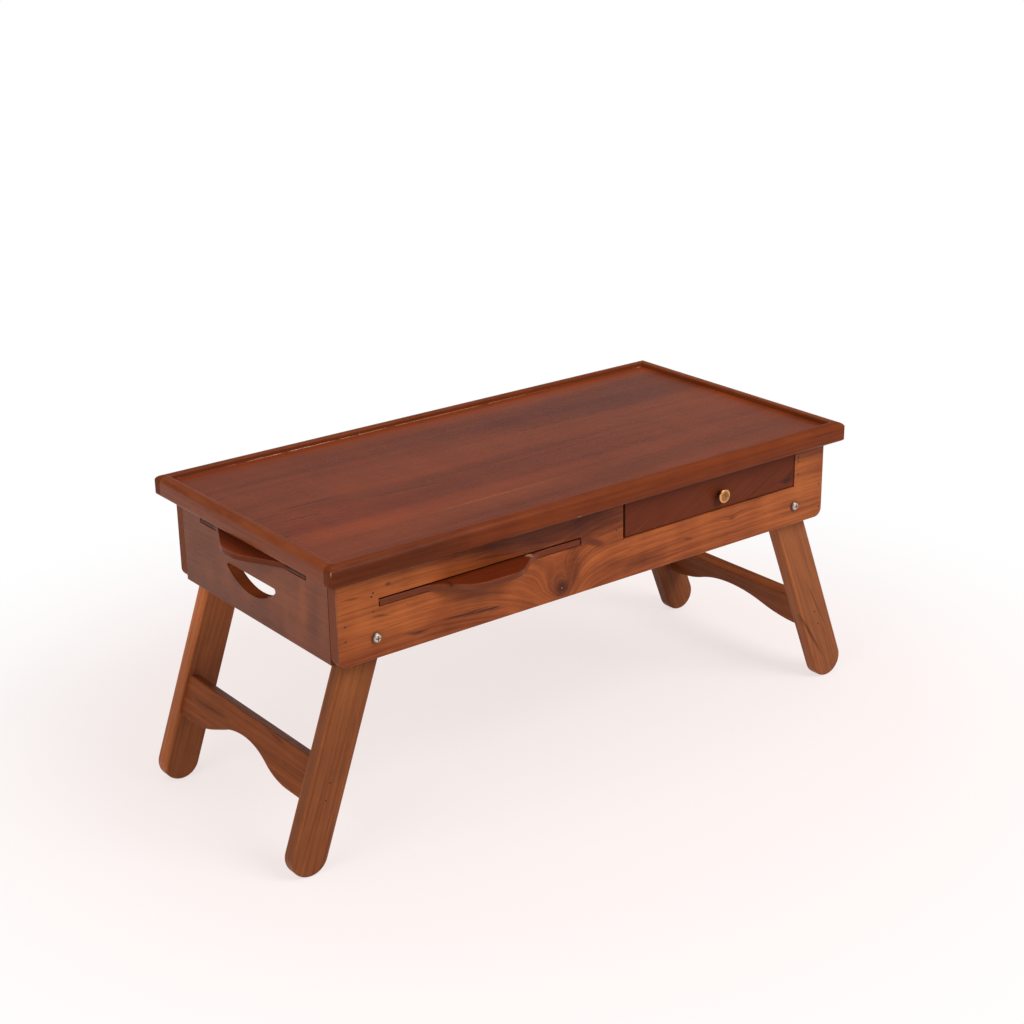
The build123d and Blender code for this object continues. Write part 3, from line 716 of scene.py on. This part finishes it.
# it shows pale along the middle of the rail, where it fades in and out, and again at the right corner
pale_in, pale_out = (-0.27, -0.16), (0.20, 0.02)
corner_in = (panel_high.x - 0.012, panel_high.x - 0.006)
reach = put(tree, "SeparateXYZ", {0: spot_place})
stretch = sums(tree, "MULTIPLY", ease(tree, reach, *pale_in), ease(tree, reach, *pale_out))
stretch = sums(tree, "MAXIMUM", stretch, ease(tree, reach, *corner_in))
missed = sums(tree, "MULTIPLY", missed, stretch)
glue_colour = tint(tree, missed, stained_glue, pale_glue)
tree.links.new(glue_colour, shader.inputs["Base Color"])
tree.links.new(ease(tree, missed, *glue_gloss), shader.inputs["Roughness"])
glue_line.data.materials.append(glue_finish)
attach(glue_line, "table")

# Pull-out boards: thin shelves that slide out of the front and of the left end, each with a bow-shaped lip.
# Red-brown teak, polished on the lip where fingers pull it; the front lip has a short crack at its left end,
# and painted shade darkens the boards where they pass into their slots.
lip_low, lip_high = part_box("front_board")
board_teak = {
    "Light": (0.205, 0.032, 0.008, 1.0),
    "Dark": (0.122, 0.018, 0.004, 1.0),
    "Streak": (0.050, 0.011, 0.005, 1.0),
    "Waver": 0.012,
    "Band Width": 0.006,
    "Band Show": 0.40,
    "Tone Show": 0.90,
    "Cross Show": 0.30,
    "Fibre Show": 0.55,
    "Streak Show": 0.15,
}
# the boards' edges are lighter in patches: partly wear, partly a painted highlight along the lip's upper edge
board_wear_and_highlight = (0.260, 0.088, 0.042, 1.0)
# painted shade on the thin edge faces of the pull-out boards
front_lip_edge_shade = (0.135, 0.034, 0.014, 1.0)
side_lip_edge_shade = (0.100, 0.026, 0.011, 1.0)
slot_shade = (0.020, 0.008, 0.005, 1.0)
slot_shade_size = (0.5, 0.0024, 0.002)
slot_shade_inset = 0.0028
crack_spot = (-0.1805, lip_low.y + 0.014, lip_high.z)
chip_spot = (-0.0875, apron_low.y - 0.001, lip_high.z)
slot_spot = ((lip_low.x + lip_high.x) / 2, apron_low.y + slot_shade_inset, lip_high.z)
# the crack, a pale chip, and painted shade across the board just inside the slot
lip_marks = [
    stain(crack_spot, (0.0022, 0.016, 0.004), mineral, 0.85, rag=0.6),
    stain(chip_spot, (0.0050, 0.0045, 0.0014), pale_nick, 0.8, rag=1.6, core=0.2),
    stain(slot_spot, slot_shade_size, slot_shade, 0.95, rag=0.1, core=0.6),
]
front_board_teak = teak_finish(
    "front_board_teak",
    along=lengthways,
    across=crossways,
    figure=board_teak,
    polish=0.32,
    gloss=0.09,
    wear_and_highlight=board_wear_and_highlight,
    marks=lip_marks,
    flank_shade=front_lip_edge_shade,
    relief=0.1,
)
side_low, side_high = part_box("side_board")
side_middle = (side_low.y + side_high.y) / 2
# painted shade across the side board just inside its slot, and on the upper part of its edge in the slot
side_marks = [
    stain((side_middle, -end_low.x - slot_shade_inset, side_high.z), slot_shade_size, slot_shade, 0.95, rag=0.1, core=0.6),
    stain((side_middle, -end_low.x, side_high.z), (0.5, 0.0016, 0.0042), slot_shade, 0.9, rag=0.1, core=0.7),
]
# the side board's wood is a lighter copy of the front board's: painted light and sheen on its lip, under the
# rim
side_board_lit_wood = {**board_teak, "Light": (0.290, 0.056, 0.018, 1.0), "Dark": (0.175, 0.031, 0.010, 1.0)}
side_board_teak = teak_finish(
    "side_board_teak",
    along=crossways,
    across=-lengthways,
    figure=side_board_lit_wood,
    polish=0.36,
    gloss=0.06,
    wear_and_highlight=board_wear_and_highlight,
    wear_and_highlight_share=0.3,
    marks=side_marks,
    flank_shade=side_lip_edge_shade,
    relief=0.1,
)
finish(front_board_teak, "front_board")
finish(side_board_teak, "side_board")

# Drawer front: a dark red-brown teak board that fills its opening, bored near its middle for the knob.
# Its fine grain runs aslant, a dark knot lies at its right end, and its left and upper edges are painted dark
# as shade in the gaps round it, with a painted shadow below and left of the knob; it is glued to the sides of
# the drawer box.
drawer_low, drawer_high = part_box("drawer_front")
slant = radians(28.0)
drawer_along = Vector((cos(slant), 0.0, sin(slant)))
drawer_across = Vector((-sin(slant), 0.0, cos(slant)))
drawer_depth = drawer_along.cross(drawer_across)


def on_drawer(x, rise):
    # a spot on the face of the drawer front, in its own along, across and depth
    spot = Vector((x, drawer_low.y, apron_low.z + rise))
    return (spot.dot(drawer_along), spot.dot(drawer_across), spot.dot(drawer_depth))


drawer_teak = {
    "Light": (0.172, 0.036, 0.0125, 1.0),
    "Dark": (0.086, 0.015, 0.005, 1.0),
    "Streak": (0.040, 0.010, 0.005, 1.0),
    "Waver": 0.006,
    "Band Width": 0.0020,
    "Band Show": 0.30,
    "Tone Show": 0.60,
    "Cross Show": 0.30,
    "Fibre Show": 0.50,
    "Streak Show": 0.15,
}
knob_low, knob_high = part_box("drawer_knob")
knob_middle = (knob_low + knob_high) / 2
knob_shade = (0.62, 0.60, 0.66, 1.0)
gap_shade = (0.012, 0.005, 0.004, 1.0)
left_edge = on_drawer(drawer_low.x, 0.060)
left_edge_size = (1.0, 0.0009 / sin(slant), 0.0045)
top_edge = on_drawer(0.13, drawer_high.z - apron_low.z)
top_edge_size = (1.0, 0.0007 / cos(slant), 0.0014)
by_knob = on_drawer(knob_middle.x - 0.006, knob_middle.z - apron_low.z - 0.002)
# painted shade at the left and upper edges and a painted shadow by the knob, then mineral streaks
drawer_marks = [
    stain(left_edge, left_edge_size, gap_shade, 0.9, 1.0 / tan(slant), rag=0.0, core=0.5),
    stain(top_edge, top_edge_size, gap_shade, 0.8, -tan(slant), rag=0.0, core=0.3),
    shade(by_knob, (0.011, 0.011, 0.02), knob_shade, 0.4, rag=0.3),
    stain(on_drawer(0.240, 0.0490), (0.011, 0.0035, 0.01), mineral, 0.75, -0.5, core=0.3),
    stain(on_drawer(0.246, 0.0560), (0.008, 0.0020, 0.01), mineral, 0.5, 0.3, core=0.3),
]
drawer_front_teak = teak_finish(
    "drawer_front_teak",
    along=drawer_along,
    across=drawer_across,
    figure=drawer_teak,
    polish=0.40,
    gloss=0.07,
    wear_and_highlight=(0.24, 0.06, 0.024, 1.0),
    knots=[knot(on_drawer(0.244, 0.0510), size=0.012, stretch=0.6, lift=0.010, strength=0.5)],
    marks=drawer_marks,
)
finish(drawer_front_teak, "drawer_front")

# Drawer box: two sides, a back, and a thin bottom that is held in grooves.
# The same plain unpolished wood as the guides, glued at the corners.
finish(along_y_wood, "drawer_side_left", "drawer_side_right")
finish(along_x_wood, "drawer_back", "drawer_bottom")

# Drawer knob: a small turned brass button, held by a steel screw from inside the drawer.
# The brass has dulled to brown; only the face and its rim, which fingers rub, still shine a little.
knob_radius = (knob_high.z - knob_low.z) / 2
rim_from, rim_to = 0.62 * knob_radius, 0.95 * knob_radius
face_from, face_to = knob_low.y + 0.0042, knob_low.y + 0.0020
rim_polish, face_polish = 0.45, 1.05
polish_range, brass_gloss = (0.25, 1.0), (1.7, -1.3)
tarnish_blotches = (420.0, 420.0, 420.0)
brown_brass, bright_brass = (0.130, 0.055, 0.020, 1.0), (0.74, 0.34, 0.12, 1.0)
turned_brass, tree, shader, spot_place = bare_finish("turned_brass")
from_axis = vectors(tree, "SUBTRACT", spot_place, knob_middle)
from_axis = vectors(tree, "LENGTH", vectors(tree, "MULTIPLY", from_axis, lengthways + upwards))
rim_shine = ease(tree, from_axis, rim_from, rim_to)
tarnish = mottle(tree, spot_place, tarnish_blotches, 4.0)
face = ease(tree, put(tree, "SeparateXYZ", {0: spot_place}, 1), face_from, face_to)
rubbed = sums(tree, "MULTIPLY_ADD", rim_shine, rim_polish, sums(tree, "SUBTRACT", face_polish, tarnish))
rubbed = sums(tree, "MULTIPLY", ease(tree, rubbed, *polish_range), face)
brass_colour = tint(tree, rubbed, brown_brass, bright_brass)
tree.links.new(brass_colour, shader.inputs["Base Color"])
tree.links.new(ease(tree, rubbed, *brass_gloss), shader.inputs["Roughness"])
bump = {"Strength": 0.15, "Distance": 0.0003, "Height": tarnish}
tree.links.new(put(tree, "Bump", bump), shader.inputs["Normal"])
shader.inputs["Metallic"].default_value = 1.0
finish(turned_brass, "drawer_knob")

# Legs: four flat bars that splay outwards, rounded along their edges and at their feet.
# Mid-brown teak with straight fine grain along each leg; the right pair is a little paler than the left one.
left_leg_wood = {
    "Light": (0.290, 0.085, 0.027, 1.0),
    "Dark": (0.145, 0.040, 0.013, 1.0),
    "Streak": (0.060, 0.017, 0.007, 1.0),
    "Waver": 0.012,
    "Band Width": 0.0032,
    "Band Show": 0.45,
    "Tone Show": 1.0,
    "Cross Show": 0.35,
    "Fibre Show": 0.90,
    "Streak Show": 0.28,
}
right_leg_wood = {**left_leg_wood, "Light": (0.350, 0.108, 0.036, 1.0), "Dark": (0.192, 0.056, 0.019, 1.0)}
leg_worn = (0.380, 0.118, 0.038, 1.0)
leg_vein = (0.085, 0.024, 0.009, 1.0)
leg_side_light = (1.50, 1.45, 1.35, 1.0)


def leg_axes(side):
    # the pivot of a pair of legs, the way up along them and the way out of the desk, square to it
    leg_low, leg_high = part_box(f"leg_{side}_front")
    screw_low, screw_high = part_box(f"pivot_screws_{side}")
    pivot = (screw_low + screw_high) / 2
    half_width = leg_high.z - pivot.z
    outward = -1.0 if side == "left" else 1.0
    foot_x = leg_low.x + half_width if side == "left" else leg_high.x - half_width
    up = Vector((pivot.x - foot_x, 0.0, pivot.z - leg_low.z - half_width)).normalized()
    return pivot, up, Vector((outward * up.z, 0.0, -outward * up.x))


leg_pairs = {side: leg_axes(side) for side in ("left", "right")}


def on_leg(side, end, below, outward):
    # a spot on the front face of a leg, given by how far it lies below the pivot and out of the leg's middle
    pivot, up, out = leg_pairs[side]
    spot = pivot - up * below + out * outward
    spot.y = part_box(f"leg_{side}_{end}")[0].y
    return (spot.dot(up), spot.dot(out), spot.dot(up.cross(out)))


# the left back leg is lightened all over as painted light in the shade under the desk, and more near its top;
# the right back leg is darker in tone; narrow sides that face left are lightened as painted light; the front
# right leg has two dark veins that lean towards its foot
half_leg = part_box("leg_left_front")[1].z - leg_pairs["left"][0].z
whole_leg, narrow_side = (0.5, 0.1, 0.05), (0.5, 0.005, 0.05)
left_leg_marks = [
    shade(on_leg("left", "back", 0.1, 0.0), whole_leg, (1.22, 1.26, 1.36, 1.0), 1.0, rag=0.0, core=0.9),
    shade(on_leg("left", "back", 0.03, 0.0), (0.11, 0.1, 0.05), (1.35, 1.35, 1.30, 1.0), 1.0),
    shade(on_leg("left", "back", 0.1, half_leg), narrow_side, leg_side_light, 0.9, rag=0.3, core=0.5),
    shade(on_leg("left", "front", 0.045, 0.004), (0.060, 0.030, 0.02), (1.2, 1.28, 1.1, 1.0), 0.9),
]
right_leg_marks = [
    shade(on_leg("right", "back", 0.1, 0.0), whole_leg, (0.86, 0.80, 0.78, 1.0), 1.0, rag=0.0, core=0.9),
    shade(on_leg("right", "front", 0.1, -half_leg), narrow_side, leg_side_light, 0.5, rag=0.3, core=0.5),
    stain(on_leg("right", "front", 0.165, -0.0130), (0.046, 0.0024, 0.01), leg_vein, 0.8, -0.21, 0.5, 0.2),
    stain(on_leg("right", "front", 0.137, 0.0045), (0.048, 0.0014, 0.01), leg_vein, 0.5, -0.15, 0.5, 0.2),
]
leg_finishes = {"left": (left_leg_wood, left_leg_marks), "right": (right_leg_wood, right_leg_marks)}
for side, (wood, marks) in leg_finishes.items():
    _, up, out = leg_pairs[side]
    leg_teak = teak_finish(
        f"{side}_leg_teak",
        along=up,
        across=out,
        figure=wood,
        polish=0.42,
        gloss=0.10,
        wear_and_highlight=leg_worn,
        marks=marks,
    )
    finish(leg_teak, f"leg_{side}_front", f"leg_{side}_back")

# Stretchers: one arched board between the legs of each pair, nailed through the legs.
# The same teak as the legs, with the grain running across the desk; two dark lines mark the left one.
left_stretcher_wood = {
    **left_leg_wood,
    "Light": (0.285, 0.076, 0.023, 1.0),
    "Dark": (0.150, 0.038, 0.012, 1.0),
    "Band Width": 0.005,
    "Band Show": 0.5,
}
# the right stretcher's wood is a lighter copy of the left one's: painted light on its face, which is turned
# in to the shade
right_stretcher_lit_wood = {
    **left_stretcher_wood,
    "Light": (0.365, 0.097, 0.028, 1.0),
    "Dark": (0.190, 0.049, 0.014, 1.0),
}


def on_left_stretcher(y, below):
    # a spot on the left stretcher, given by how far it lies below the pivot
    pivot, up, _ = leg_pairs["left"]
    spot = pivot - up * below
    return (y, spot.dot(up), spot.dot(crossways.cross(up)))


stretcher_lines = [
    stain(on_left_stretcher(0.0659, 0.1372), (0.048, 0.0030, 0.03), leg_vein, 0.9, -0.033, rag=0.4, core=0.3),
    stain(on_left_stretcher(-0.0430, 0.1235), (0.028, 0.0022, 0.03), leg_vein, 0.9, 0.099, rag=0.4, core=0.3),
]
stretcher_finishes = {"left": (left_stretcher_wood, stretcher_lines), "right": (right_stretcher_lit_wood, [])}
for side, (wood, marks) in stretcher_finishes.items():
    _, up, _ = leg_pairs[side]
    stretcher_teak = teak_finish(
        f"{side}_stretcher_teak",
        along=crossways,
        across=up,
        figure=wood,
        polish=0.42,
        gloss=0.05,
        wear_and_highlight=leg_worn,
        marks=marks,
    )
    finish(stretcher_teak, f"stretcher_{side}")

# Leg nails: two finishing nails through each leg into the end of its stretcher.
# Dark steel, punched level with the wood, as in the apron.
for side, drops in (("left", (0.1373, 0.1539)), ("right", (0.1440, 0.1605))):
    pivot, up, _ = leg_pairs[side]
    for end, facing in (("front", -crossways), ("back", crossways)):
        leg_low, leg_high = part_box(f"leg_{side}_{end}")
        face_y = leg_low.y if end == "front" else leg_high.y
        spots = [Vector((pivot.x, face_y, pivot.z)) - up * drop for drop in drops]
        nail_heads(f"leg_nails_{side}_{end}", spots, facing, f"{side}_legs")

# Pivot screws, washers and knob screw: pan-head machine screws with a cross recess, and flat washers.
# Zinc-plated steel with a soft shine, smudged by handling, and darker below the crown of each head.
screw_low, screw_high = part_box("pivot_screws_left")
screw_middle = (screw_low.y + screw_high.y) / 2
screw_half = (screw_high.y - screw_low.y) / 2
below_crown_from, below_crown_to = screw_half - 0.0006, screw_half - 0.0013
below_crown_show = 0.85
smudge_blotches, zinc_dullness = (420.0, 420.0, 420.0), (-0.6, 1.9)
smudged_zinc, bright_zinc = (0.42, 0.30, 0.25, 1.0), (0.84, 0.66, 0.58, 1.0)
below_crown_dark = (0.05, 0.035, 0.03, 1.0)
zinc_steel, tree, shader, spot_place = bare_finish("zinc_steel")
smudge = mottle(tree, spot_place, smudge_blotches, 4.0)
zinc_colour = tint(tree, smudge, smudged_zinc, bright_zinc)
# darker below the crown of each head, down to the wood and in the cross recess
aside = sums(tree, "SUBTRACT", put(tree, "SeparateXYZ", {0: spot_place}, 1), screw_middle)
below_crown = ease(tree, sums(tree, "ABSOLUTE", aside), below_crown_from, below_crown_to)
zinc_colour = tint(tree, sums(tree, "MULTIPLY", below_crown, below_crown_show), zinc_colour, below_crown_dark)
tree.links.new(zinc_colour, shader.inputs["Base Color"])
tree.links.new(ease(tree, smudge, *zinc_dullness), shader.inputs["Roughness"])
bump = {"Strength": 0.1, "Distance": 0.0001, "Height": smudge}
tree.links.new(put(tree, "Bump", bump), shader.inputs["Normal"])
shader.inputs["Metallic"].default_value = 1.0
finish(zinc_steel, "pivot_screws_left", "pivot_screws_right", "pivot_washers", "knob_screw")

# Floor: a wide pale sheet under the desk, which is part of the stage and not of the desk.
# Round the desk it is faintly pink and keeps the soft shadow; farther off it shows plain white.
floor_half = 400.0
white_from, white_to = 0.34, 0.78
white = (1.0, 1.0, 1.0, 1.0)
bounced_pink, shadow_grey = (0.80, 0.77, 0.76, 1.0), (0.25, 0.235, 0.23, 1.0)
shown_pink, pink_level = (1.0, 0.915, 0.90, 1.0), 0.745


def seen_rays(tree):
    # 1 for rays from the camera, straight or by way of a mirror or glass
    rays = tree.nodes.new("ShaderNodeLightPath").outputs
    seen = sums(tree, "MAXIMUM", rays["Is Camera Ray"], rays["Is Glossy Ray"])
    return sums(tree, "MAXIMUM", seen, rays["Is Transmission Ray"])


made = bmesh.new()
bmesh.ops.create_grid(made, x_segments=4, y_segments=4, size=floor_half)
floor = piece_of("floor", made)
floor_paper = bpy.data.materials.new("floor_paper")
floor_paper.use_nodes = True
tree = floor_paper.node_tree
tree.nodes.remove(tree.nodes["Principled BSDF"])
seen = seen_rays(tree)
spot_place = tree.nodes.new("ShaderNodeTexCoord").outputs["Object"]
far_off = ease(tree, vectors(tree, "LENGTH", spot_place), white_from, white_to)
plain = put(tree, "BsdfDiffuse", {"Color": bounced_pink})
shaded = put(tree, "BsdfDiffuse", {"Color": shadow_grey})
glow = put(tree, "Emission", {"Color": shown_pink, "Strength": pink_level})
near_floor = put(tree, "AddShader", {0: shaded, 1: glow})
far_floor = put(tree, "Emission", {"Color": white, "Strength": 1.0})
shown_floor = put(tree, "MixShader", {0: far_off, 1: near_floor, 2: far_floor})
sheet = put(tree, "MixShader", {0: seen, 1: plain, 2: shown_floor})
tree.links.new(sheet, tree.nodes["Material Output"].inputs["Surface"])
floor.data.materials.append(floor_paper)

# Studio light: a dim grey room, brighter overhead and towards the back right, a large soft lamp at the front
# right and weaker ones at the left and above. The level is plain: a colour renders about as it is written.
# Low down the room shows plain white, as the far floor does, so that the two meet without a line.
back_right = (0.6, 0.8, 0.0)
front_wall, back_wall = (0.08, 0.078, 0.076, 1.0), (0.175, 0.165, 0.16, 1.0)
ceiling = (0.66, 0.65, 0.64, 1.0)
wall_turn, ceiling_rise, horizon = (-0.6, 1.0), (0.30, 1.0), (0.24, 0.08)
world = bpy.data.worlds.new("studio")
bpy.context.scene.world = world
world.use_nodes = True
tree = world.node_tree
heading = tree.nodes.new("ShaderNodeTexCoord").outputs["Generated"]
height = put(tree, "SeparateXYZ", {0: heading}, 2)
backward = vectors(tree, "DOT_PRODUCT", heading, back_right)
walls = tint(tree, ease(tree, backward, *wall_turn), front_wall, back_wall)
room = tint(tree, ease(tree, height, *ceiling_rise), walls, ceiling)
seen = seen_rays(tree)
low_down = sums(tree, "MULTIPLY", ease(tree, height, *horizon), seen)
room = tint(tree, low_down, room, white)
tree.links.new(room, tree.nodes["Background"].inputs["Color"])
desk_middle = (cad_box[0] + cad_box[1]) / 2


def soft_lamp(name, place, width, power):
    # a square soft lamp turned towards the desk
    lamp = bpy.data.lights.new(name, "AREA")
    lamp.size = width
    lamp.energy = power
    held = bpy.data.objects.new(name, lamp)
    held.location = place
    held.rotation_euler = (desk_middle - Vector(place)).to_track_quat("-Z", "Y").to_euler()
    bpy.context.scene.collection.objects.link(held)


soft_lamp("front_lamp", (0.7, -1.95, 1.90), width=1.5, power=48.0)
soft_lamp("left_lamp", (-2.2, -0.5, 1.3), width=1.5, power=22.0)
soft_lamp("top_lamp", (0.2, 0.3, 2.6), width=1.8, power=4.0)

# Camera: stands at the front left of the desk, a little above it, as in the photograph.
# It is tilted by under a degree and has a long lens, so that the desk narrows only a little to the back.
camera_place = Vector((-1.06322, -1.37899, 0.88155))
camera_target = Vector((0.05577, 0.07836, 0.19520))
camera_roll = radians(-0.831)
line_of_sight = (0.0, 0.0, 1.0)
lens = bpy.data.cameras.new("camera")
lens.lens = 66.896
lens.sensor_width = 36.0
camera = bpy.data.objects.new("camera", lens)
camera.location = camera_place
camera.rotation_mode = "QUATERNION"
aim = (camera_target - camera_place).to_track_quat("-Z", "Y")
camera.rotation_quaternion = aim @ Quaternion(line_of_sight, camera_roll)
bpy.context.scene.collection.objects.link(camera)
bpy.context.scene.camera = camera
bpy.context.scene.view_settings.view_transform = "Standard"
